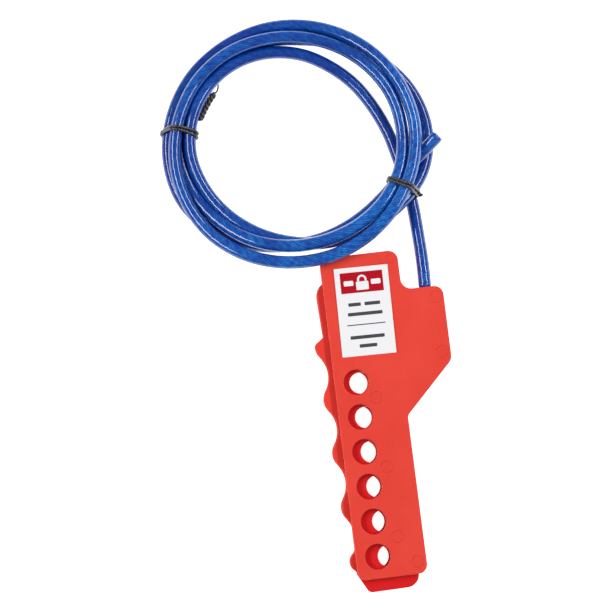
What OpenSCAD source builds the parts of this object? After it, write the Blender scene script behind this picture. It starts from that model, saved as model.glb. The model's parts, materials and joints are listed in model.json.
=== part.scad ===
// Scissor-action cable lockout hasp: two moulded plates with a grip lever between them,
// six padlock holes, a jacketed wire rope anchored in the shoulder, and its tied coil.
// Millimetres. The body lies flat, back face down, head towards +Y, front face up.
// Drawn from the lowest padlock hole, then shifted so that the origin is under the
// middle of the body's box, on the surface.

/* [Body] */
// Thickness of each moulded plate
plate_t = 2.6; // [2.2:0.1:3.0]
// Depth of the space between the plates
cavity_h = 7.0; // [6.8:0.1:8]
// Half-way line of the padlock holes to the left edge of the plates
left_w = 9.5; // [9:0.1:10]
// Padlock hole line to the right edge of the handle, under the slanted edge
handle_w = 20.3; // [19.5:0.1:21]
// Padlock hole line to the right edge of the handle, at its foot
foot_w = 20.6; // [19.5:0.1:21]
// Padlock hole line to the right edge of the head
head_w = 24.4; // [24:0.1:25]
// Padlock hole line to the right edge of the shoulder
shoulder_w = 42.15; // [41.5:0.05:43]
// Lowest padlock hole to the top edge
top_y = 130.3; // [129:0.1:132]
// Lowest padlock hole to the top of the shoulder
shoulder_y = 112.7; // [112:0.1:114]
// Lowest padlock hole to the bottom edge of the plates
foot_y = 9.3; // [9:0.1:10]
// Thickness of the wall round the back shell
wall_t = 2.2; // [2:0.1:2.3]

/* [Padlock holes] */
// Number of padlock holes
hole_count = 6; // [3:1:6]
// Distance between padlock holes
hole_pitch = 15.05; // [14.8:0.05:15.2]
// Diameter of the padlock holes in the front plate
hole_d = 10.8; // [10:0.1:11]
// Diameter of the padlock holes in the back shell
back_hole_d = 10; // [9.6:0.1:10.4]
// Diameter of the padlock holes in the lever
lever_hole_d = 9.3; // [9:0.1:10]
// Width of the chamfer round each plate hole
lip_w = 0.3; // [0.2:0.1:0.6]

/* [Lever] */
// Thickness of the lever
lever_t = 6.2; // [5.8:0.1:6.4]
// Angle of the lever past the point where its holes line up
rest_angle = 2.3; // [1.8:0.1:2.4]
// Distance between finger grips
grip_pitch = 23.45; // [23:0.05:23.6]
// Height of each finger grip above the hollow beside it
grip_rise = 3.8; // [3:0.1:4]
// Diameter of the pivot pin
pivot_d = 6; // [5:0.5:7]
// Clearance round the pivot pin
pivot_gap = 0.05; // [0.02:0.01:0.1]
// Number of teeth on the jaw
tooth_count = 5; // [3:1:5]

/* [Pins] */
// Diameter of the pin heads in the front face
pin_head_d = 5.2; // [4.2:0.1:5.2]
// Diameter of the smaller pin head beside the label
top_head_d = 3.8; // [3:0.1:3.8]
// Diameter of the shanks that join the corners
corner_pin_d = 1.8; // [1.4:0.1:1.8]
// Diameter of the shanks that stop the lever
stop_pin_d = 3.6; // [3:0.1:3.8]

/* [Label] */
// Width of the label
label_w = 23.4; // [20:0.1:23.4]
// Height of the label
label_h = 38.5; // [34:0.1:38.5]

/* [Cable] */
// Outside diameter of the jacketed cable
cable_d = 5.6; // [5:0.1:5.6]
// Diameter of the wire rope inside it
rope_d = 3.2; // [2.8:0.1:3.4]
// Inside radius of the coil
coil_in = 39; // [37:0.5:43]
// Outside radius of the coil
coil_out = 57; // [53:0.5:57]
// Height of the top of the coil
coil_h = 15; // [14.5:0.5:17]
// Thickness of the twist ties
tie_t = 0.8; // [0.6:0.1:0.9]
// Width of the twist ties along the cable
tie_w = 1.8; // [1.2:0.1:2.4]

/* [Hidden] */
$fn = 64;
eps = 0.01;

red = [0.86, 0.13, 0.10];
lever_red = [0.78, 0.09, 0.08];
blue = [0.06, 0.20, 0.62];
steel = [0.72, 0.74, 0.76];

body_h = 2 * plate_t + cavity_h;
mid_z = plate_t + cavity_h / 2;
front_z = plate_t + cavity_h;
lever_z = mid_z - lever_t / 2;
pivot = [7, 118];
pivot_depth = 1.6;

// Slanted edge under the shoulder: a 45 degree line through its lower end
slant_foot = [21.0, 59.1];
slant_top_y = slant_foot[1] + shoulder_w - slant_foot[0];
slant_low_y = slant_foot[1] - (slant_foot[0] - handle_w);
foot_r = 3.7;

// Where the cable is held, and where its free end is threaded
anchor_x = 34.9;
channel_x = [25.2, 31.1];
anvil_t = 0.9;
anvil_foot_y = 86;
ledge_y = [97, 99.5];
jacket_foot_y = 101;
ferrule_y = [87.5, 96.8];
rope_foot_y = 88;
label_mid = [7.46, 105.5];
label_turn = -1.2;
label_t = 0.2;
label_sink = 0.25;
label_room = [label_w + 0.9, label_h + 0.7];
pin_depth = 1.6;
pin_head_t = 1.2;
head_sink = 0.05;

// Corner pins by the edges, and stop pins on the lever's side of the handle,
// each with the diameter of its head
corner_pin_at = [
    [20.9, 126.7, top_head_d], [38.7, 107.9, pin_head_d], [38.4, 84.1, pin_head_d],
    [16.7, -4, pin_head_d]
];
stop_pin_at = [for (k = [0:2]) [9.5 - k, hole_pitch * (2 * k + 0.5), pin_head_d]];
stop_gap = 0.35;

// Grip edge of the lever: arcs that meet on a tangent, lobe and hollow in turn
grip_x = -13.2;
lobe_r = 7.4;
first_lobe_y = 93.2;
lobe_count = 5;
hollow_r = ((grip_pitch / 2) ^ 2 + grip_rise ^ 2) / (2 * grip_rise) - lobe_r;
arc_half = atan2(grip_pitch / 2, lobe_r + hollow_r - grip_rise);
top_lobe_end = 10;
low_lobe = [-12.4, -0.5];
low_lobe_r = 4.7;
low_lobe_arc = [240, 127];
low_fillet_r = 3;
low_hollow = 14;
lever_side_x = 10.4;
lever_foot = [[-14.7, -6], [-10.6, -14.3]];
jaw_x = 26.5;
jaw_y = [87, 103.5];
tooth_h = 0.8;
tooth_pitch = 2.8;

coil_at = [-12.5, 183];
coil_foot = 1.0;
coil_bevel = 2.5;
tie_angles = [166.5, 330];
tie_gap = 0.1;
end_tip = [48.3, 177.5, 13.7];
end_angle = 39.5;
end_l = 9;
lead_sides = 10;
lead_route = [
    [34.9, 112.7, 6.1], [35.1, 118, 6.1], [35.2, 124, 5.8], [35.1, 130, 5.4],
    [34.9, 136, 4.8], [34.7, 142, 4.1], [34.4, 148, 3.5], [33.8, 154, 3.1]
];

function unit(v) = v / norm(v);
function turn(v, a) = [v[0] * cos(a) - v[1] * sin(a), v[0] * sin(a) + v[1] * cos(a)];
function swing(p, a) = pivot + turn(p - pivot, a);
function on_circle(c, r, a) = c + r * [cos(a), sin(a)];
function arc(c, r, a0, a1, n, skip = 0) =
    [for (i = [skip:n - skip]) on_circle(c, r, a0 + (a1 - a0) * i / n)];

// The arc that rounds the corner p between its neighbours a and b
function corner(a, p, b, r, n = 6) =
    r == 0 ? [p] :
    let (u = unit(a - p), v = unit(b - p), half = acos(u * v) / 2)
    let (c = p + unit(u + v) * r / sin(half))
    let (s = p + u * r / tan(half) - c, e = p + v * r / tan(half) - c)
    let (a0 = atan2(s[1], s[0]), a1 = atan2(e[1], e[0]))
    let (sweep = (a1 - a0 + 540) % 360 - 180)
    arc(c, r, a0, a0 + sweep, n);
function xy(p) = [p[0], p[1]];
// Outline from corners given as [x, y, radius]
function rounded(pts) =
    let (n = len(pts))
    [for (i = [0:n - 1])
        each corner(xy(pts[(i + n - 1) % n]), xy(pts[i]), xy(pts[(i + 1) % n]), pts[i][2])];

// Corners of a plate, anticlockwise, each edge set in by d
diag = tan(22.5);
function plate_corners(d = 0) = [
    [-left_w + d, -foot_y + d, max(foot_r - d, 1)],
    [foot_w - d, -foot_y + d, max(4 - d, 1)],
    [handle_w - d, slant_low_y + d * diag, 3 + d],
    [shoulder_w - d, slant_top_y + d * diag, max(5 - d, 1)],
    [shoulder_w - d, shoulder_y - d, max(4 - d, 1)],
    [head_w - d, shoulder_y - d, 4.6 + d],
    [head_w - d, top_y - d, max(4.2 - d, 1)],
    [-left_w + d, top_y - d, max(3 - d, 0.5)]
];

box_min = [
    swing([grip_x - grip_rise + lobe_r, first_lobe_y], rest_angle)[0] - lobe_r,
    swing(lever_foot[1], rest_angle)[1]
];
box_max = [shoulder_w, top_y];
origin = [(box_min[0] + box_max[0]) / 2, (box_min[1] + box_max[1]) / 2, 0];

module plate_outline() polygon(rounded(plate_corners()));

module at_holes() {
    for (k = [0:hole_count - 1]) translate([0, k * hole_pitch, 0]) children();
}

// A hole through a plate of thickness plate_t standing on z = 0, chamfered at its upper face
module padlock_hole(d) {
    translate([0, 0, -1]) cylinder(d = d, h = plate_t + 2);
    translate([0, 0, plate_t - lip_w])
        cylinder(r1 = d / 2, r2 = d / 2 + lip_w + eps, h = lip_w + eps);
}

module wall_outline() {
    difference() {
        plate_outline();
        polygon(rounded(plate_corners(wall_t)));
        // the lever's side and the foot stay open
        translate([-40, -40]) square([57.4, 100]);
        translate([-40, 50]) square([50, 76]);
        // ways in for the anchored cable and for the free end
        translate([anchor_x - cable_d / 2 - 0.1, shoulder_y - 5]) square([cable_d + 0.2, 10]);
        translate([channel_x[0], shoulder_y - 5]) square([channel_x[1] - channel_x[0], 10]);
        translate([channel_x[0], slant_low_y]) square([channel_x[1] - channel_x[0], 20]);
    }
}

module anchor_ribs() {
    pocket_x = channel_x[1] + anvil_t;
    translate([channel_x[1], anvil_foot_y]) square([anvil_t, shoulder_y - anvil_foot_y]);
    translate([pocket_x - eps, ledge_y[0]])
        square([anchor_x - rope_d / 2 - 0.3 - pocket_x + eps, ledge_y[1] - ledge_y[0]]);
    translate([anchor_x + rope_d / 2 + 0.3, ledge_y[0]])
        square([shoulder_w - wall_t - anchor_x - rope_d / 2 - 0.3 + eps, ledge_y[1] - ledge_y[0]]);
}

module back_shell() color(red) difference() {
    union() {
        linear_extrude(plate_t) plate_outline();
        translate([0, 0, plate_t - eps]) linear_extrude(cavity_h + eps) wall_outline();
        translate([0, 0, plate_t - eps]) linear_extrude(cavity_h + eps) anchor_ribs();
    }
    at_holes() translate([0, 0, plate_t]) mirror([0, 0, 1]) padlock_hole(back_hole_d);
    translate([pivot[0], pivot[1], plate_t - pivot_depth]) cylinder(d = pivot_d, h = cavity_h);
    for (p = corner_pin_at) pin_socket(p, corner_pin_d);
    for (p = stop_pin_at) pin_socket(p, stop_pin_d);
}

module pin_socket(p, d) {
    translate([p[0], p[1], plate_t - pin_depth]) cylinder(d = d, h = body_h);
}

module front_plate() color(red) difference() {
    translate([0, 0, front_z]) linear_extrude(plate_t) plate_outline();
    translate([0, 0, front_z]) at_holes() padlock_hole(hole_d);
    translate([pivot[0], pivot[1], front_z - 1]) cylinder(d = pivot_d, h = 1 + pivot_depth);
    for (p = corner_pin_at) pin_seat(p, corner_pin_d);
    for (p = stop_pin_at) pin_seat(p, stop_pin_d);
    translate([label_mid[0] - label_room[0] / 2, label_mid[1] - label_room[1] / 2,
            body_h - label_sink]) cube([label_room[0], label_room[1], 1]);
}

module pin_seat(p, d) {
    translate([p[0], p[1], front_z - 1]) cylinder(d = d, h = body_h);
    translate([p[0], p[1], body_h - pin_head_t]) cylinder(d = p[2], h = body_h);
}

module label() color("white")
    translate([label_mid[0], label_mid[1], body_h - label_sink]) rotate(label_turn)
        translate([-label_w / 2, -label_h / 2, 0]) cube([label_w, label_h, label_t]);

// Edge of the grips, from the small lowest lobe up to the highest
grip_edge = [
    each arc(low_lobe, low_lobe_r, low_lobe_arc[0], low_lobe_arc[1], 10),
    each arc(
        on_circle(low_lobe, low_lobe_r + low_fillet_r, low_lobe_arc[1]), low_fillet_r,
        low_lobe_arc[1] - 180, 0, 6, 1
    ),
    for (k = [lobe_count - 2:-1:0])
        let (y = first_lobe_y - k * grip_pitch)
        let (low = k == lobe_count - 2 ? low_hollow : arc_half)
        let (high = k == 0 ? top_lobe_end : arc_half)
        let (hollow = [grip_x - hollow_r, y - grip_pitch / 2])
        each concat(
            arc(hollow, hollow_r, -low, arc_half, 10, 1),
            arc([grip_x - grip_rise + lobe_r, y], lobe_r, 180 + arc_half, 180 - high, 10)
        )
];

// Foot, right side and head of the lever, anticlockwise
lever_corners = [
    [lever_foot[1][0], lever_foot[1][1], 2.5],
    [11.65, -14.8, 5.5],
    [11.65, -6.6, 0.8],
    [lever_side_x, -5.2, 0.8],
    [lever_side_x, 73, 5],
    [jaw_x, jaw_y[0], 1.5],
    [jaw_x, jaw_y[1], 1.5],
    [15, 112, 4],
    [15, 125, 6],
    [4, 125, 4],
    [-1, 121, 4],
    [-12.9, 121, 6.5],
    [-12.9, 97.2, 1]
];
last_grip = grip_edge[len(grip_edge) - 1];

module lever_outline() {
    polygon(concat(
        rounded(concat(
            [[lever_foot[0][0], lever_foot[0][1], 0]],
            lever_corners,
            [[last_grip[0], last_grip[1], 0]]
        )),
        [for (i = [len(grip_edge) - 2:-1:0]) grip_edge[i]]
    ));
    for (k = [0:tooth_count - 1])
        translate([jaw_x - eps, jaw_y[0] + 2.2 + k * tooth_pitch])
            polygon([[0, 0], [tooth_h, tooth_pitch * 0.7], [0, tooth_pitch * 0.9]]);
}

// Notch round a stop pin, flared towards the lever's open side
module stop_notch(p) {
    half = stop_pin_d / 2 + stop_gap;
    translate([p[0], p[1], 0]) {
        cylinder(r = half, h = body_h);
        linear_extrude(body_h) polygon([[0, -half], [14, -half - 0.8], [14, half + 1.6], [0, half]]);
    }
}

module lever() color(lever_red) difference() {
    translate([pivot[0], pivot[1], lever_z]) rotate(rest_angle) translate([-pivot[0], -pivot[1], 0])
        difference() {
            linear_extrude(lever_t) lever_outline();
            at_holes() translate([0, 0, -1]) cylinder(d = lever_hole_d, h = lever_t + 2);
            translate([pivot[0], pivot[1], -1]) cylinder(r = pivot_d / 2 + pivot_gap, h = lever_t + 2);
        }
    for (p = stop_pin_at) stop_notch(p);
}

module pivot_pin() color(lever_red)
    translate([pivot[0], pivot[1], plate_t - pivot_depth])
        cylinder(d = pivot_d, h = cavity_h + 2 * pivot_depth);

module pin(p, d) {
    z0 = plate_t - pin_depth;
    translate([p[0], p[1], z0]) cylinder(d = d, h = body_h - pin_head_t - z0 + eps);
    translate([p[0], p[1], body_h - pin_head_t])
        cylinder(d = p[2], h = pin_head_t - head_sink);
}

module corner_pins() color(red) for (p = corner_pin_at) pin(p, corner_pin_d);
module stop_pins() color(red) for (p = stop_pin_at) pin(p, stop_pin_d);

// A cylinder along +Y at the anchored cable's axis
module along_anchor(d, y0, y1) {
    translate([anchor_x, y0, mid_z]) rotate([-90, 0, 0]) cylinder(d = d, h = y1 - y0);
}

module wire_rope() color(steel) along_anchor(rope_d, rope_foot_y, shoulder_y);

module crimp_ferrule() color(steel) difference() {
    along_anchor(cable_d, ferrule_y[0], ferrule_y[1]);
    along_anchor(rope_d, rope_foot_y, ferrule_y[1] + 1);
}

module cable_tail() color(blue) difference() {
    along_anchor(cable_d, jacket_foot_y, shoulder_y);
    along_anchor(rope_d, jacket_foot_y - 1, shoulder_y + 1);
}

// A tube of even radius swept along a route, one ring of sides to each point
module swept_tube(route, r, sides) {
    n = len(route);
    rings = [
        for (i = [0:n - 1])
            let (t = unit(route[min(i + 1, n - 1)] - route[max(i - 1, 0)]))
            let (side = unit(cross(t, [0, 0, 1])), up = cross(side, t))
            for (j = [0:sides - 1])
                route[i] + r * (side * cos(360 * j / sides) + up * sin(360 * j / sides))
    ];
    skin = [
        for (i = [0:n - 2], j = [0:sides - 1])
            let (a = i * sides + j, b = i * sides + (j + 1) % sides)
            each [[a, a + sides, b], [b, a + sides, b + sides]]
    ];
    polyhedron(rings, concat(
        [[for (j = [0:sides - 1]) j]],
        skin,
        [[for (j = [sides - 1:-1:0]) (n - 1) * sides + j]]
    ));
}

module cable_lead() color(blue) swept_tube(lead_route, cable_d / 2, lead_sides);

module cable_coil() color(blue) difference() {
    translate([coil_at[0], coil_at[1], coil_foot]) rotate_extrude() polygon([
        [coil_in, coil_bevel], [coil_in + coil_bevel, 0],
        [coil_out - coil_bevel, 0], [coil_out, coil_bevel],
        [coil_out, coil_h - coil_foot - coil_bevel], [coil_out - coil_bevel, coil_h - coil_foot],
        [coil_in + coil_bevel, coil_h - coil_foot], [coil_in, coil_h - coil_foot - coil_bevel]
    ]);
    // room for the corner of the body that the coil lies over
    translate([-left_w - 0.5, top_y - 20, 0]) cube([60, 20.3, body_h + 0.3]);
}

module cable_end() color(blue)
    translate(end_tip) rotate([0, 0, end_angle]) rotate([0, -90, 0]) cylinder(d = cable_d, h = end_l);

// A wire bent round the coil's section, square to its turns
module twist_tie(angle) {
    inner = [coil_out - coil_in + 2 * tie_gap, coil_h - coil_foot + 2 * tie_gap];
    translate([coil_at[0], coil_at[1], coil_foot - tie_gap]) rotate(angle)
        translate([coil_in - tie_gap, -tie_w / 2, 0]) difference() {
            translate([-tie_t, 0, -tie_t]) cube([inner[0] + 2 * tie_t, tie_w, inner[1] + 2 * tie_t]);
            translate([0, -1, 0]) cube([inner[0], tie_w + 2, inner[1]]);
        }
}

module twist_tie_left() color([0.12, 0.11, 0.10]) twist_tie(tie_angles[0]);
module twist_tie_right() color([0.12, 0.11, 0.10]) twist_tie(tie_angles[1]);

translate(-origin) back_shell();
translate(-origin) front_plate();
translate(-origin) lever();
translate(-origin) pivot_pin();
translate(-origin) corner_pins();
translate(-origin) stop_pins();
translate(-origin) label();
translate(-origin) wire_rope();
translate(-origin) crimp_ferrule();
translate(-origin) cable_tail();
translate(-origin) cable_lead();
translate(-origin) cable_coil();
translate(-origin) cable_end();
translate(-origin) twist_tie_left();
translate(-origin) twist_tie_right();
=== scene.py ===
"""Looks for the cable lockout hasp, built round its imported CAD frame."""
import json
import math

import bmesh
import bpy
from mathutils import Matrix, Vector


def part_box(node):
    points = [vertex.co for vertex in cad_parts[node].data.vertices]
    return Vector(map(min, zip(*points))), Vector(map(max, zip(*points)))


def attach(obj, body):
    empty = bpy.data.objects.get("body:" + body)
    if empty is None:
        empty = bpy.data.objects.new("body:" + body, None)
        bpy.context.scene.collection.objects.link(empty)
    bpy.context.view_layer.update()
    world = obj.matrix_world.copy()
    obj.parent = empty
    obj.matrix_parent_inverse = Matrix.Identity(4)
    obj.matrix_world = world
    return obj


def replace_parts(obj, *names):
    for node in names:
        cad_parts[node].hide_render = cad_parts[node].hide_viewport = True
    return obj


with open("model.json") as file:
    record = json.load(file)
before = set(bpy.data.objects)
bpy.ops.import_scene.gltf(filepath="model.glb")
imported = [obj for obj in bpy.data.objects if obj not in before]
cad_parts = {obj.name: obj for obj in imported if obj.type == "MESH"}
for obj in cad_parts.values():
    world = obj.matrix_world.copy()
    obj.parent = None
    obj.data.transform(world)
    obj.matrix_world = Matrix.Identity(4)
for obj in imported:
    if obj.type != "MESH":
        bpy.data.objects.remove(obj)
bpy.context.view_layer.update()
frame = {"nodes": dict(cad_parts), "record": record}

MM = 0.001
mounts = {m["name"]: m for m in frame["record"]["mounts"]}

# Body coordinates, as in the CAD source: millimetres from the lowest padlock hole
lowest_hole = Vector(mounts["lock_hole_6"]["pos_m"])
coil_low, coil_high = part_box("cable_coil")
coil_centre = (coil_low + coil_high) / 2


def at(x, y, z):
    """A point given in body coordinates, in the row frame."""
    return Vector((lowest_hole.x + x * MM, lowest_hole.y + y * MM, z * MM))


# ---------------------------------------------------------------- camera

VIEW_AZIMUTH = math.radians(-6.9)
VIEW_ELEVATION = math.radians(85)
VIEW_DISTANCE = 0.9
LENS = 122.5


def add_camera():
    target = at(-17.6, 110.6, 12.2)
    level = math.cos(VIEW_ELEVATION)
    back = Vector((
        math.sin(VIEW_AZIMUTH) * level,
        -math.cos(VIEW_AZIMUTH) * level,
        math.sin(VIEW_ELEVATION),
    ))
    data = bpy.data.cameras.new("camera")
    data.lens = LENS
    data.sensor_width = 36
    data.clip_start = 0.05
    data.clip_end = 10
    camera = bpy.data.objects.new("camera", data)
    camera.location = target + back * VIEW_DISTANCE
    camera.rotation_mode = "QUATERNION"
    camera.rotation_quaternion = (-back).to_track_quat("-Z", "Y")
    bpy.context.collection.objects.link(camera)
    bpy.context.scene.camera = camera


add_camera()

# ---------------------------------------------------------------- cable route

CABLE_D = 5.6
ROPE_D = 3.2
ROPE_LAY = 27

# The lead, from the shoulder's mouth down to the surface and in under the coil
LEAD = [
    (34.9, 112.7, 6.1), (35.1, 118, 6.1), (35.2, 124, 5.8), (35.1, 130, 5.4),
    (34.9, 136, 4.8), (34.7, 142, 4.1), (34.4, 148, 3.5), (33.8, 154, 3.1),
    (32.8, 160, 2.8), (31.6, 166, 2.8), (30.3, 172, 2.8),
]

# The coil: angle from +X about its centre, radius, height of the centreline. These rows
# were written by a program, from radii read off the photo and from heights that
# a solver worked out, and then partly corrected. They aren't worked out
# here, as a coil's turns should be.
COIL = [
    (0, 40.0, 2.8), (20, 36.8, 2.8), (40, 36.2, 2.8), (60, 37.0, 3.0), (80, 39.4, 3.3),
    (100, 42.1, 4.0), (120, 44.7, 4.9), (140, 46.6, 5.6), (160, 47.4, 5.9), (180, 47.1, 5.9),
    (200, 45.5, 5.9), (220, 44.2, 6.3), (240, 43.7, 7.1), (260, 44.3, 8.0), (280, 46.2, 8.7),
    (300, 48.8, 9.2), (320, 52.1, 8.8), (340, 56.1, 6.6),
    (360, 56.9, 4.2), (380, 54.8, 3.1), (400, 51.3, 2.8), (420, 48.1, 2.8), (440, 46.6, 2.8),
    (460, 47.7, 2.8), (480, 49.2, 2.8), (500, 50.6, 2.8), (520, 51.6, 2.8), (540, 51.9, 3.3),
    (560, 50.8, 4.9), (580, 49.0, 7.5), (600, 47.7, 10.3), (620, 46.5, 12.7),
    (640, 45.7, 14.1), (660, 45.8, 14.6), (680, 46.2, 14.3), (700, 46.1, 13.4),
    (720, 45.6, 11.8), (740, 45.6, 10.2), (760, 45.4, 9.0), (780, 45.5, 8.3), (800, 46.2, 8.1),
    (820, 47.6, 8.1), (840, 49.7, 8.1), (860, 51.5, 8.0), (880, 52.7, 8.0), (900, 54.1, 8.1),
    (920, 55.1, 8.5), (940, 55.6, 9.6), (960, 54.9, 11.5), (980, 53.8, 13.6),
    (1000, 53.0, 15.3), (1020, 52.1, 16.0), (1040, 51.4, 16.4), (1060, 51.1, 16.4),
    (1080, 51.1, 15.0), (1100, 50.9, 12.2), (1120, 51.1, 9.2), (1140, 51.5, 7.0),
    (1160, 52.2, 5.0), (1180, 53.2, 3.5), (1200, 54.1, 2.9), (1220, 55.5, 2.8),
    (1240, 56.5, 2.8), (1260, 57.2, 2.8), (1280, 56.6, 2.8), (1300, 53.2, 2.8),
    (1320, 48.7, 2.8), (1340, 44.9, 2.8), (1360, 43.2, 3.3), (1380, 42.9, 4.5),
    (1400, 44.5, 6.7),
]

# The free end, a straight stretch that lies on the coil
FREE_END = [(32.9, 164.9, 9.0), (40.6, 171.2, 10.9), (48.3, 177.5, 13.7)]


def smooth_path(points, step):
    """Points about step apart on one smooth curve through the given ones."""
    points = [Vector(p) for p in points]
    gaps = [(b - a).length for a, b in zip(points, points[1:])]
    slopes = [(b - a) / gap for a, b, gap in zip(points, points[1:], gaps)]
    heads = [slopes[0]]
    for i in range(1, len(points) - 1):
        share = gaps[i - 1] / (gaps[i - 1] + gaps[i])
        heads.append(slopes[i - 1] * (1 - share) + slopes[i] * share)
    heads.append(slopes[-1])
    path = []
    for a, b, gap, u, v in zip(points, points[1:], gaps, heads, heads[1:]):
        count = max(1, round(gap / step))
        for k in range(count):
            t = k / count
            path.append(
                a * (2 * t**3 - 3 * t**2 + 1) + u * gap * (t**3 - 2 * t**2 + t)
                + b * (3 * t**2 - 2 * t**3) + v * gap * (t**3 - t**2)
            )
    return path + [points[-1]]


def around_coil(angle, radius, height, sideways=0.0):
    """A point by its angle about the coil, in millimetres; sideways is along the turns."""
    a = math.radians(angle)
    out = Vector((math.cos(a), math.sin(a), 0))
    along = Vector((-math.sin(a), math.cos(a), 0))
    middle = Vector((coil_centre.x, coil_centre.y, 0))
    return middle + (out * radius + along * sideways) * MM + Vector((0, 0, height * MM))


cable_path = smooth_path(
    [at(*p) for p in LEAD] + [around_coil(*p) for p in COIL] + [at(*p) for p in FREE_END],
    1.2 * MM,
)

# ---------------------------------------------------------------- mesh tools


def add_object(name, bm, materials, body, smooth_angle=None):
    mesh = bpy.data.meshes.new(name)
    bm.to_mesh(mesh)
    bm.free()
    for material in materials:
        mesh.materials.append(material)
    obj = bpy.data.objects.new(name, mesh)
    bpy.context.collection.objects.link(obj)
    if smooth_angle is not None:
        mesh.shade_smooth()
        mesh.set_sharp_from_angle(angle=math.radians(smooth_angle))
        obj.modifiers.new("even_shading", "WEIGHTED_NORMAL").keep_sharp = True
    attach(obj, body)
    return obj


def carried_frames(path, closed=False):
    """The direction, and two square to it that don't twist, at each point of a path."""
    count = len(path)
    frames = []
    side = None
    for i, point in enumerate(path):
        before = path[i - 1] if i or closed else point
        after = path[(i + 1) % count] if i + 1 < count or closed else point
        ahead = (after - before).normalized()
        if side is None:
            guide = Vector((0, 0, 1)) if abs(ahead.z) < 0.9 else Vector((1, 0, 0))
            side = ahead.cross(guide).normalized()
        side = (side - ahead * side.dot(ahead)).normalized()
        frames.append((ahead, side, side.cross(ahead)))
    return frames


def add_tube(bm, path, radius, sides, closed=False, bevel=0.0):
    """Sweeps a round tube along a path, with its length and its turn as UV."""
    uv = bm.loops.layers.uv.verify()
    count = len(path)
    frames = carried_frames(path, closed)
    radii = [radius] * count
    stations = [0.0]
    for a, b in zip(path, path[1:]):
        stations.append(stations[-1] + (b - a).length)
    if bevel and not closed:
        for i, s in enumerate(stations):
            gap = min(s, stations[-1] - s)
            if gap < bevel:
                radii[i] = radius - bevel + math.sqrt(bevel**2 - (bevel - gap) ** 2)
    rings = [
        [
            bm.verts.new(
                point + (side * math.cos(2 * math.pi * j / sides)
                         + up * math.sin(2 * math.pi * j / sides)) * r
            )
            for j in range(sides)
        ]
        for point, (_, side, up), r in zip(path, frames, radii)
    ]
    for i in range(count if closed else count - 1):
        k = (i + 1) % count
        far = stations[k] if k else stations[-1] + (path[0] - path[-1]).length
        for j in range(sides):
            n = (j + 1) % sides
            face = bm.faces.new((rings[i][j], rings[k][j], rings[k][n], rings[i][n]))
            face.smooth = True
            corners = ((stations[i], j), (far, j), (far, j + 1), (stations[i], j + 1))
            for loop, (along, turn) in zip(face.loops, corners):
                loop[uv].uv = (along, turn / sides)
    if not closed:
        bm.faces.new(rings[0])
        bm.faces.new(reversed(rings[-1]))
    return rings


def softened(node, width_at, body, material, segments=3):
    """A copy of a CAD node with its edges rounded; it stands for that node."""
    bm = bmesh.new()
    bm.from_mesh(frame["nodes"][node].data)
    bmesh.ops.remove_doubles(bm, verts=bm.verts, dist=1e-6)
    bmesh.ops.dissolve_limit(
        bm, angle_limit=math.radians(1), verts=bm.verts, edges=bm.edges, delimit={"NORMAL"}
    )
    groups = {}
    for edge in bm.edges:
        if len(edge.link_faces) == 2 and edge.calc_face_angle() > math.radians(35):
            middle = (edge.verts[0].co + edge.verts[1].co) / 2
            width = width_at(middle)
            if width:
                groups.setdefault(width, []).append(edge)
    for width, edges in sorted(groups.items()):
        bmesh.ops.bevel(
            bm,
            geom=[e for e in edges if e.is_valid],
            offset=width * MM,
            offset_type="OFFSET",
            segments=segments,
            profile=0.5,
            affect="EDGES",
            clamp_overlap=False,
        )
    bmesh.ops.remove_doubles(bm, verts=bm.verts, dist=2e-6)
    bmesh.ops.recalc_face_normals(bm, faces=bm.faces)
    obj = add_object(node + "_moulded", bm, [material], body, smooth_angle=32)
    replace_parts(obj, node)
    return obj


# ---------------------------------------------------------------- materials


class Shading:
    """A material with its Principled shader, and short calls that add nodes to it."""

    def __init__(self, name, **values):
        self.material = bpy.data.materials.new(name)
        self.material.use_nodes = True
        self.nodes = self.material.node_tree.nodes
        self.links = self.material.node_tree.links
        self.shader = self.nodes["Principled BSDF"]
        for key, value in values.items():
            self.shader.inputs[key.replace("_", " ")].default_value = value

    def add(self, kind, _inputs=(), **settings):
        node = self.nodes.new("ShaderNode" + kind)
        for key, value in settings.items():
            setattr(node, key, value)
        for socket, value in dict(_inputs).items():
            if isinstance(value, bpy.types.NodeSocket):
                self.links.new(value, node.inputs[socket])
            else:
                node.inputs[socket].default_value = value
        return node

    def maths(self, operation, *values):
        return self.add("Math", dict(enumerate(values)), operation=operation).outputs[0]

    def noise(self, where, scale, detail=2.0, roughness=0.5):
        inputs = {"Vector": where, "Scale": scale, "Detail": detail, "Roughness": roughness}
        return self.add("TexNoise", inputs).outputs["Fac"]

    def between(self, factor, low, high, a=0.0, b=1.0):
        inputs = {"Value": factor, "From Min": low, "From Max": high, "To Min": a, "To Max": b}
        return self.add("MapRange", inputs).outputs["Result"]

    def blend(self, factor, a, b):
        node = self.add("Mix", data_type="RGBA")
        for socket, value in ((0, factor), (6, a), (7, b)):
            if isinstance(value, bpy.types.NodeSocket):
                self.links.new(value, node.inputs[socket])
            else:
                node.inputs[socket].default_value = value
        return node.outputs[2]

    def set(self, socket, value):
        self.links.new(value, self.shader.inputs[socket])

    def bump(self, height, distance, strength=1.0):
        inputs = {"Height": height, "Distance": distance, "Strength": strength}
        self.set("Normal", self.add("Bump", inputs).outputs["Normal"])

    def place(self, socket="Object"):
        return self.add("TexCoord").outputs[socket]


def rgba(r, g, b):
    return (r, g, b, 1.0)


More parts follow.
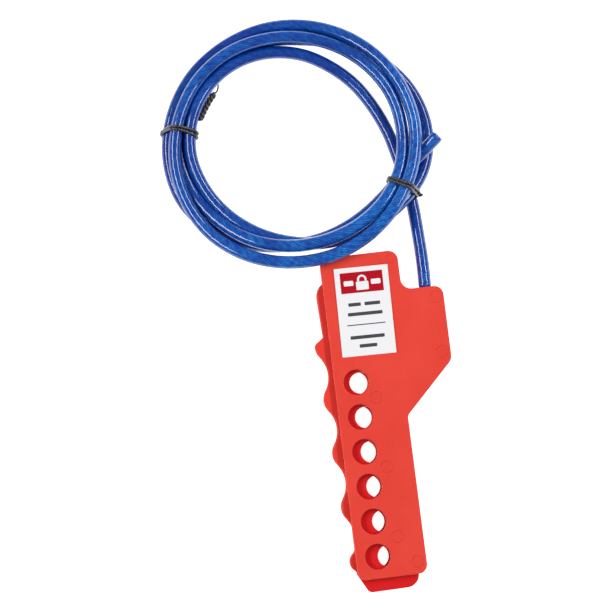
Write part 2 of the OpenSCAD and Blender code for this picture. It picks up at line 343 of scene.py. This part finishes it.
def moulded_plastic(name, colour, deep, painted_shade_colour=None, painted_shade_x=0.0):
    """Injection-moulded plastic: fine spark-eroded grain, faint clouding and scuffs.

    Past a given x a second colour takes over, duller and deeper: painted shade, for the part that
    lies in shadow between the plates.
    """
    s = Shading(name, IOR=1.46, Specular_IOR_Level=0.36)
    where = s.place()
    cloud = s.noise(where, 60, 4)
    grain = s.noise(where, 1500, 3)
    stretched = s.add("Mapping", {"Vector": where, "Scale": (900, 70, 400)}).outputs[0]
    scuff = s.between(s.noise(stretched, 1, 3), 0.62, 0.74)
    base = s.blend(s.between(cloud, 0.35, 0.68), rgba(*deep), rgba(*colour))
    speck = rgba(*(c * 0.9 + 0.012 for c in colour))
    speckled = s.blend(s.between(grain, 0.4, 0.7, 0, 0.55), base, speck)
    # painted shade: past the given x the colour turns darker and the gloss lower, as in shadow
    if painted_shade_colour:
        across = s.add("SeparateXYZ", {"Vector": where}).outputs["X"]
        in_painted_shade = s.between(across, painted_shade_x - 0.001, painted_shade_x + 0.002)
        painted_shade_speck = rgba(*(c * 0.9 for c in painted_shade_colour))
        kept = s.blend(s.between(grain, 0.3, 0.8), rgba(*painted_shade_colour), painted_shade_speck)
        speckled = s.blend(in_painted_shade, speckled, kept)
        s.set("Specular IOR Level", s.between(in_painted_shade, 0, 1, 0.36, 0.16))
    s.set("Base Color", speckled)
    rough = s.maths("ADD", s.between(cloud, 0.3, 0.7, 0.40, 0.48), s.maths("MULTIPLY", scuff, 0.08))
    s.set("Roughness", rough)
    height = s.maths("ADD", grain, s.maths("MULTIPLY", scuff, 0.35))
    s.bump(height, 0.00012, 0.5)
    return s.material


def jacketed_rope(name):
    """Clear blue jacket over a stranded rope, whose wires show through as slanted lines."""
    s = Shading(name, IOR=1.5, Roughness=0.14, Coat_Weight=0.3, Coat_Roughness=0.04)
    along_turn = s.add("SeparateXYZ", {"Vector": s.place("UV")})
    along, turn = along_turn.outputs["X"], along_turn.outputs["Y"]
    where = s.place()
    twist = s.maths("ADD", turn, s.maths("DIVIDE", along, ROPE_LAY * MM))
    wire = s.maths("PINGPONG", s.maths("MULTIPLY", twist, 14), 0.5)
    strand = s.maths("PINGPONG", s.maths("MULTIPLY", twist, 6), 0.5)
    patches = s.noise(where, 420, 3, 0.6)
    broad = s.noise(where, 55, 2)
    lines = s.between(wire, 0.22, 0.5, 0, 1.0)
    lines = s.maths("MULTIPLY", lines, s.between(patches, 0.42, 0.62, 0.1, 1.0))
    # painted light and shade: higher passes of the coil are coloured lighter, lower ones darker, by
    # their height
    height = s.add("SeparateXYZ", {"Vector": where}).outputs["Z"]
    painted_height_light = s.between(height, 0.004, 0.017, 0.25, 1.0)
    painted_height_light = s.maths("MULTIPLY", painted_height_light, s.between(broad, 0.35, 0.65, 0.55, 1.15))
    shaded = s.between(strand, 0.05, 0.5, 0, 0.22)
    body = s.maths("ADD", shaded, s.between(patches, 0.3, 0.7, 0, 0.2))
    amount = s.maths("MULTIPLY", s.maths("ADD", s.maths("MULTIPLY", lines, 0.8), body), painted_height_light)
    deep = s.blend(painted_height_light, rgba(0.001, 0.018, 0.21), rgba(0.001, 0.040, 0.31))
    s.set("Base Color", s.blend(amount, deep, rgba(0.02, 0.24, 0.66)))
    ripple = s.maths("ADD", s.maths("MULTIPLY", strand, 1.6), s.noise(where, 380, 2))
    s.bump(ripple, 0.00005, 0.5)
    return s.material


def stranded_steel(name):
    s = Shading(name, Metallic=1.0, IOR=2.0)
    where = s.place()
    grime = s.noise(where, 700, 3)
    dark = s.between(grime, 0.35, 0.7)
    s.set("Base Color", s.blend(dark, rgba(0.62, 0.63, 0.65), rgba(0.33, 0.33, 0.35)))
    s.set("Roughness", s.between(grime, 0.3, 0.7, 0.24, 0.42))
    drawn = s.add("Mapping", {"Vector": where, "Scale": (3000, 200, 3000)}).outputs[0]
    s.bump(s.noise(drawn, 1, 2), 0.00003, 0.4)
    return s.material


def crimped_metal(name):
    s = Shading(name, Metallic=1.0, IOR=1.45)
    where = s.place()
    stretched = s.add("Mapping", {"Vector": where, "Scale": (500, 2200, 500)}).outputs[0]
    marks = s.noise(stretched, 1, 3)
    s.set("Base Color", s.blend(marks, rgba(0.68, 0.69, 0.71), rgba(0.52, 0.53, 0.55)))
    s.set("Roughness", s.between(marks, 0.3, 0.7, 0.3, 0.5))
    s.bump(marks, 0.00005, 0.5)
    return s.material


def printed_film(name, colour, tone, gloss=0.5):
    """Printed label film: a faint weave of dots in the ink, and a slightly uneven gloss."""
    s = Shading(name, IOR=1.5, Coat_Weight=gloss / 2, Coat_Roughness=0.12, Specular_IOR_Level=gloss)
    where = s.place()
    dots = s.noise(where, 3800, 1)
    wave = s.noise(where, 90, 2)
    mixed = s.blend(s.between(dots, 0.35, 0.7), rgba(*colour), rgba(*tone))
    s.set("Base Color", s.blend(s.between(wave, 0.3, 0.8, 0, 0.25), mixed, rgba(*tone)))
    s.set("Roughness", s.between(wave, 0.3, 0.7, 0.3, 0.42))
    s.bump(wave, 0.00008, 0.25)
    return s.material


def sleeved_wire(name, colour, bright):
    """Thin plastic sleeve drawn over a tie's wire, with ribs and lighter, glossier patches at
    random.
    """
    s = Shading(name, IOR=1.5, Coat_Weight=0.3, Coat_Roughness=0.2)
    where = s.place()
    pale_patches = s.noise(where, 1400, 3)
    ribs = s.add("SeparateXYZ", {"Vector": s.place("UV")}).outputs["X"]
    rib = s.maths("PINGPONG", s.maths("DIVIDE", ribs, 0.0007), 0.5)
    s.set("Base Color", s.blend(s.between(pale_patches, 0.52, 0.72), rgba(*colour), rgba(*bright)))
    s.set("Roughness", s.between(pale_patches, 0.3, 0.7, 0.5, 0.3))
    s.bump(s.maths("ADD", rib, pale_patches), 0.00012, 0.6)
    return s.material


RED = moulded_plastic("red_moulding", (0.75, 0.047, 0.028), (0.71, 0.040, 0.023))
# the lever is painted darker and duller from 9.5 mm left of the lowest hole rightwards, where it
# lies between the plates: painted shade
LEVER_RED = moulded_plastic(
    "lever_moulding", (0.75, 0.036, 0.020), (0.70, 0.030, 0.017),
    painted_shade_colour=(0.66, 0.010, 0.012), painted_shade_x=lowest_hole.x - 9.5 * MM,
)
PIN_RED = moulded_plastic("pin_moulding", (0.74, 0.045, 0.027), (0.70, 0.038, 0.022))
JACKET = jacketed_rope("blue_jacket")
STEEL = stranded_steel("steel_wire")
CRIMP = crimped_metal("crimped_sleeve")
FILM = printed_film("label_film", (0.83, 0.83, 0.84), (0.78, 0.78, 0.80))
INK_RED = printed_film("label_red", (0.44, 0.003, 0.012), (0.40, 0.003, 0.011), 0.16)
INK_GREY = printed_film("label_grey", (0.040, 0.040, 0.048), (0.075, 0.075, 0.085), 0.2)
TIE = sleeved_wire("tie_sleeve", (0.018, 0.016, 0.013), (0.16, 0.12, 0.10))

# ---------------------------------------------------------------- cable and its ties

# A tie's wire, how far its middle runs from the cable's, and how low it may lie
TIE_WIRE_R = 0.6
TIE_CLEARANCE = 3.42
TIE_LOWEST = 0.65


def build_cable():
    bm = bmesh.new()
    add_tube(bm, cable_path, CABLE_D / 2 * MM, 28, bevel=0.25 * MM)
    cable = add_object("cable_jacket", bm, [JACKET], "housing")
    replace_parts(cable, "cable_lead", "cable_coil", "cable_end")
    return cable


def strands(bm, start, ahead, length, rope_d, lay, count=6):
    """A straight rope of one middle strand and others laid round it."""
    wire = rope_d / 6 * 1.02
    ring = rope_d / 2 - wire
    guide = Vector((0, 0, 1)) if abs(ahead.z) < 0.9 else Vector((1, 0, 0))
    side = ahead.cross(guide).normalized()
    up = side.cross(ahead)
    steps = max(2, round(length / (0.8 * MM)))
    for k in range(count + 1):
        path = []
        for i in range(steps + 1):
            s = length * i / steps
            a = 2 * math.pi * (s / lay + k / count)
            offset = Vector() if k == count else (side * math.cos(a) + up * math.sin(a)) * ring
            path.append(start + ahead * s + offset)
        add_tube(bm, path, wire, 10)


def build_rope_end():
    """The steel that shows in the square cut at the cable's free end."""
    ahead = (cable_path[-1] - cable_path[-4]).normalized()
    bm = bmesh.new()
    start = cable_path[-1] - ahead * 0.6 * MM
    strands(bm, start, ahead, 0.85 * MM, ROPE_D * MM, ROPE_LAY * MM)
    core = add_object("cable_cut_strands", bm, [STEEL], "housing")
    return core


def build_anchored_rope():
    low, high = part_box("wire_rope")
    middle = (low + high) / 2
    start = Vector((middle.x, low.y, middle.z))
    bm = bmesh.new()
    strands(bm, start, Vector((0, 1, 0)), high.y - low.y, high.x - low.x, 20 * MM)
    rope = add_object("anchored_rope", bm, [STEEL], "housing")
    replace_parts(rope, "wire_rope")


def bundle(angle):
    """Radius and height, in millimetres, of each pass of the cable at an angle of the coil."""
    found = []
    middle = Vector((coil_centre.x, coil_centre.y, 0))
    out = Vector((math.cos(math.radians(angle)), math.sin(math.radians(angle)), 0))
    along = Vector((-out.y, out.x, 0))
    for a, b in zip(cable_path, cable_path[1:]):
        ca, cb = (a - middle).dot(along), (b - middle).dot(along)
        if ca * cb <= 0 and ca != cb and (a - middle).dot(out) > 0:
            p = a + (b - a) * (ca / (ca - cb))
            found.append(((p - middle).dot(out) / MM, p.z / MM))
    return found


def hull_loop(centres, clearance, step=0.7):
    """The tightest loop round circles of one radius, as even points anticlockwise."""
    points = sorted({
        (round(r + clearance * math.cos(math.radians(t)), 4),
         round(z + clearance * math.sin(math.radians(t)), 4))
        for r, z in centres for t in range(0, 360, 15)
    })

    def half(sequence):
        kept = []
        for p in sequence:
            while len(kept) > 1:
                (ax, ay), (bx, by) = kept[-2], kept[-1]
                if (bx - ax) * (p[1] - ay) - (by - ay) * (p[0] - ax) > 0:
                    break
                kept.pop()
            kept.append(p)
        return kept[:-1]

    corners = half(points) + half(reversed(points))
    loop = []
    for (ax, ay), (bx, by) in zip(corners, corners[1:] + corners[:1]):
        n = max(1, round(math.hypot(bx - ax, by - ay) / step))
        loop += [(ax + (bx - ax) * k / n, ay + (by - ay) * k / n) for k in range(n)]
    return loop


def tie_turn(bm, angle, lean, phase, offset):
    """One closed turn of a tie round the bundle; lean is how far it strays along the cable."""
    loop = hull_loop(bundle(angle), TIE_CLEARANCE)
    path = []
    for i, (radius, height) in enumerate(loop):
        t = 2 * math.pi * i / len(loop)
        stray = offset + lean * math.cos(t + phase)
        path.append(around_coil(angle, radius, max(height, TIE_LOWEST), stray))
    add_tube(bm, path, TIE_WIRE_R * MM, 12, closed=True)


def twisted_pair(bm, path, wire_r, pitch, spread):
    """Two wires laid round each other along a path, each spread from it."""
    frames = carried_frames(path)
    station = 0.0
    pair = ([], [])
    for i, (point, (_, side, up)) in enumerate(zip(path, frames)):
        if i:
            station += (point - path[i - 1]).length
        a = 2 * math.pi * station / pitch
        arm = (side * math.cos(a) + up * math.sin(a)) * spread
        pair[0].append(point + arm)
        pair[1].append(point - arm)
    for one in pair:
        add_tube(bm, one, wire_r, 10, bevel=wire_r * 0.8)


def tie_piece(bm, side):
    tie = add_object("tie_wire_" + side, bm, [TIE], "housing")
    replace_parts(tie, "twist_tie_" + side)
    return tie


def build_left_tie():
    angle = 168
    bm = bmesh.new()
    tie_turn(bm, angle, -1.7, 1.45, 0.1)
    tie_turn(bm, angle, -1.7, 1.75, 1.4)
    tail = smooth_path(
        [
            around_coil(160, 44.1, 4.6), around_coil(157, 43.9, 4.2), around_coil(153, 43.6, 3.8),
            around_coil(149, 43.4, 3.4), around_coil(145, 43.2, 3.0), around_coil(141.5, 43.0, 2.7),
        ],
        0.35 * MM,
    )
    twisted_pair(bm, tail, 0.85 * MM, 4.2 * MM, 0.72 * MM)
    wire = smooth_path(
        [
            around_coil(142.5, 43.2, 2.7), around_coil(140, 42.6, 2.5),
            around_coil(138, 43.0, 2.2), around_coil(135.8, 44.2, 1.7),
        ],
        0.4 * MM,
    )
    add_tube(bm, wire, 0.38 * MM, 8, bevel=0.2 * MM)
    return tie_piece(bm, "left")


def build_right_tie():
    angle = 329.5
    bm = bmesh.new()
    tie_turn(bm, angle, 0.3, 0.4, -0.72)
    tie_turn(bm, angle, 0.3, 3.4, 0.72)
    outer = max(radius for radius, _ in bundle(angle))
    stub = smooth_path(
        [
            around_coil(angle, outer + 2.7, 7.2), around_coil(angle, outer + 3.9, 6.8, 0.1),
            around_coil(angle, outer + 5.0, 6.0, 0.4),
        ],
        0.3 * MM,
    )
    twisted_pair(bm, stub, 0.55 * MM, 2.8 * MM, 0.5 * MM)
    return tie_piece(bm, "right")


cable = build_cable()
cut_strands = build_rope_end()
build_anchored_rope()
left_tie = build_left_tie()
right_tie = build_right_tie()

# ---------------------------------------------------------------- body


def near(point, centres, reach):
    return any((point.xy - c).length < reach * MM for c in centres)


def pin_centres():
    """The middle of each separate pin, from the loose parts of the CAD nodes."""
    centres = []
    for node in ("corner_pins", "stop_pins"):
        bm = bmesh.new()
        bm.from_mesh(frame["nodes"][node].data)
        bmesh.ops.remove_doubles(bm, verts=bm.verts, dist=1e-6)
        left = set(bm.verts)
        while left:
            group, todo = set(), [left.pop()]
            while todo:
                v = todo.pop()
                group.add(v)
                for e in v.link_edges:
                    o = e.other_vert(v)
                    if o in left:
                        left.discard(o)
                        todo.append(o)
            xs, ys = [v.co.x for v in group], [v.co.y for v in group]
            centres.append(Vector(((min(xs) + max(xs)) / 2, (min(ys) + max(ys)) / 2)))
        bm.free()
    return centres


pins = pin_centres()
label_low, label_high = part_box("label")
plate_low, plate_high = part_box("front_plate")
hole_centres = [
    Vector(m["pos_m"][:2]) for name, m in mounts.items() if name.startswith("lock_hole")
]


def plate_edge(point):
    """How far to round an edge of a plate, in millimetres, by where it is."""
    rim = 0.3 * MM
    pin_reach, hole_reach = 3.0, 6.2
    in_recess = (
        label_low.x - rim < point.x < label_high.x + rim
        and label_low.y - rim < point.y < label_high.y + rim
    )
    if in_recess and point.z > plate_low.z:
        return 0
    if near(point, pins, pin_reach):
        return 0.1 if point.y > label_high.y - 1 * MM else 0.18
    if near(point, hole_centres, hole_reach):
        return 0.14
    return 0.45


def lever_edge(point):
    """The grips are rounded more than the lever's part between the plates."""
    return 0.85 if point.x < lowest_hole.x - 9 * MM else 0.35


softened("front_plate", plate_edge, "housing", RED)
softened("back_shell", plate_edge, "housing", RED)
softened("lever", lever_edge, "lever", LEVER_RED)
for node, edge_width, material in (
    ("corner_pins", 0.2, PIN_RED), ("stop_pins", 0.2, PIN_RED),
    ("pivot_pin", 0.3, PIN_RED), ("crimp_ferrule", 0.2, CRIMP),
):
    softened(node, lambda point, width=edge_width: width, "housing", material)
tail_mesh = frame["nodes"]["cable_tail"].data
tail_mesh.materials.clear()
tail_mesh.materials.append(JACKET)

# ---------------------------------------------------------------- label

LABEL_SIZE = (23.4, 38.5)
LABEL_TURN = math.radians(-1.2)
label_mid = (label_low.xy + label_high.xy) / 2


def slab(bm, outline, z0, z1):
    """A flat slab; its outline is in millimetres about the label's middle, turned with it."""
    c, s = math.cos(LABEL_TURN), math.sin(LABEL_TURN)
    low = [
        bm.verts.new((label_mid.x + (x * c - y * s) * MM, label_mid.y + (x * s + y * c) * MM, z0))
        for x, y in outline
    ]
    high = [bm.verts.new((v.co.x, v.co.y, z1)) for v in low]
    bm.faces.new(reversed(low))
    bm.faces.new(high)
    for i in range(len(low)):
        k = (i + 1) % len(low)
        bm.faces.new((low[i], low[k], high[k], high[i]))


def rounded_slab(bm, x0, y0, x1, y1, z0, z1, radius, corner_steps=5):
    """A slab over a rectangle with round corners."""
    outline = []
    for cx, cy, start in (
        (x1 - radius, y0 + radius, -90), (x1 - radius, y1 - radius, 0),
        (x0 + radius, y1 - radius, 90), (x0 + radius, y0 + radius, 180),
    ):
        for k in range(corner_steps + 1):
            a = math.radians(start + 90 * k / corner_steps)
            outline.append((cx + radius * math.cos(a), cy + radius * math.sin(a)))
    slab(bm, outline, z0, z1)


def label_piece(name, bm, material):
    piece = add_object(name, bm, [material], "housing")
    return piece


def build_label():
    ink = 0.02 * MM
    top = label_high.z
    half_w, half_h = LABEL_SIZE[0] / 2, LABEL_SIZE[1] / 2
    bm = bmesh.new()
    rounded_slab(bm, -half_w, -half_h, half_w, half_h, label_low.z, top, 0.25)
    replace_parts(label_piece("label_film", bm, FILM), "label")

    bm = bmesh.new()
    panel_y = 12.4
    rounded_slab(bm, -9.4, panel_y - 4.3, 9.1, panel_y + 4.7, top - ink, top + ink, 0.25)
    label_piece("label_panel", bm, INK_RED)

    # a plain padlock sign between two bars, in place of any wording
    bm = bmesh.new()
    z0, z1 = top + ink / 2, top + 2 * ink
    rounded_slab(bm, -2.7, panel_y - 3.2, 2.7, panel_y + 0.5, z0, z1, 0.4)
    for side in (-1, 1):
        rounded_slab(
            bm, side * 5.9 - 2.1, panel_y - 1.1, side * 5.9 + 2.1, panel_y + 1.1, z0, z1, 0.5
        )
    arch = [(math.cos(math.pi * k / 14), math.sin(math.pi * k / 14)) for k in range(15)]
    foot, spring = panel_y + 0.4, panel_y + 1.3
    outer = [(2.05 * x, spring + 2.05 * y) for x, y in arch]
    inner = [(1.2 * x, spring + 1.2 * y) for x, y in arch]
    slab(
        bm,
        [(2.05, foot)] + outer + [(-2.05, foot), (-1.2, foot)] + inner[::-1] + [(1.2, foot)],
        z0, z1,
    )
    label_piece("label_sign", bm, FILM)

    # grey bars where lines of print would be, and a rule between them
    bm = bmesh.new()
    rounded_slab(bm, -8.3, -6.0, 8.3, -5.55, top - ink, top + ink, 0.12)
    for y, words in (
        (3.1, ((-6.9, -1.5), (0.1, 6.9))),
        (-1.1, ((-7.5, 7.5),)),
        (-11.2, ((-7.4, 7.4),)),
        (-15.0, ((-3.8, 3.8),)),
    ):
        for left, right in words:
            rounded_slab(bm, left, y - 0.75, right, y + 0.75, top - ink, top + ink, 0.3)
    label_piece("label_bars", bm, INK_GREY)


build_label()

# ---------------------------------------------------------------- floor and light


def add_floor():
    """A sheet of white paper on a light table."""
    bm = bmesh.new()
    bmesh.ops.create_grid(bm, x_segments=1, y_segments=1, size=3)
    mesh = bpy.data.meshes.new("floor")
    bm.to_mesh(mesh)
    bm.free()
    white = rgba(1, 1, 1)
    s = Shading("floor_paper", Roughness=0.9, Emission_Color=white, Emission_Strength=0.95)
    paper = s.noise(s.place(), 40, 2)
    s.set("Base Color", s.blend(paper, rgba(0.93, 0.93, 0.93), rgba(0.95, 0.95, 0.95)))
    mesh.materials.append(s.material)
    floor = bpy.data.objects.new("floor", mesh)
    floor.location.z = -0.00005
    bpy.context.collection.objects.link(floor)


def add_area(name, place, target, size, radiance):
    """A rectangular lamp that faces a target, with its long side along the body."""
    data = bpy.data.lights.new(name, "AREA")
    data.shape = "RECTANGLE"
    data.size, data.size_y = size
    data.energy = radiance * math.pi * size[0] * size[1]
    lamp = bpy.data.objects.new(name, data)
    lamp.location = place
    back = (place - target).normalized()
    along = (Vector((0, 1, 0)) - back * back.y).normalized()
    turn = Matrix((along.cross(back), along, back)).transposed()
    lamp.rotation_mode = "QUATERNION"
    lamp.rotation_quaternion = turn.to_quaternion()
    bpy.context.collection.objects.link(lamp)


def add_lights():
    centre = at(-10, 110, 0)
    add_area("left_strip", centre + Vector((-0.75, 0.05, 0.85)), centre, (0.21, 1.0), 13.2)
    add_area("right_strip", centre + Vector((0.75, 0.25, 0.85)), centre, (0.19, 1.3), 13.0)
    world = bpy.data.worlds.new("studio")
    world.use_nodes = True
    background = world.node_tree.nodes["Background"]
    background.inputs["Color"].default_value = rgba(1, 1, 1)
    background.inputs["Strength"].default_value = 0.225
    bpy.context.scene.world = world


add_floor()
add_lights()
bpy.context.scene.view_settings.view_transform = "Standard"
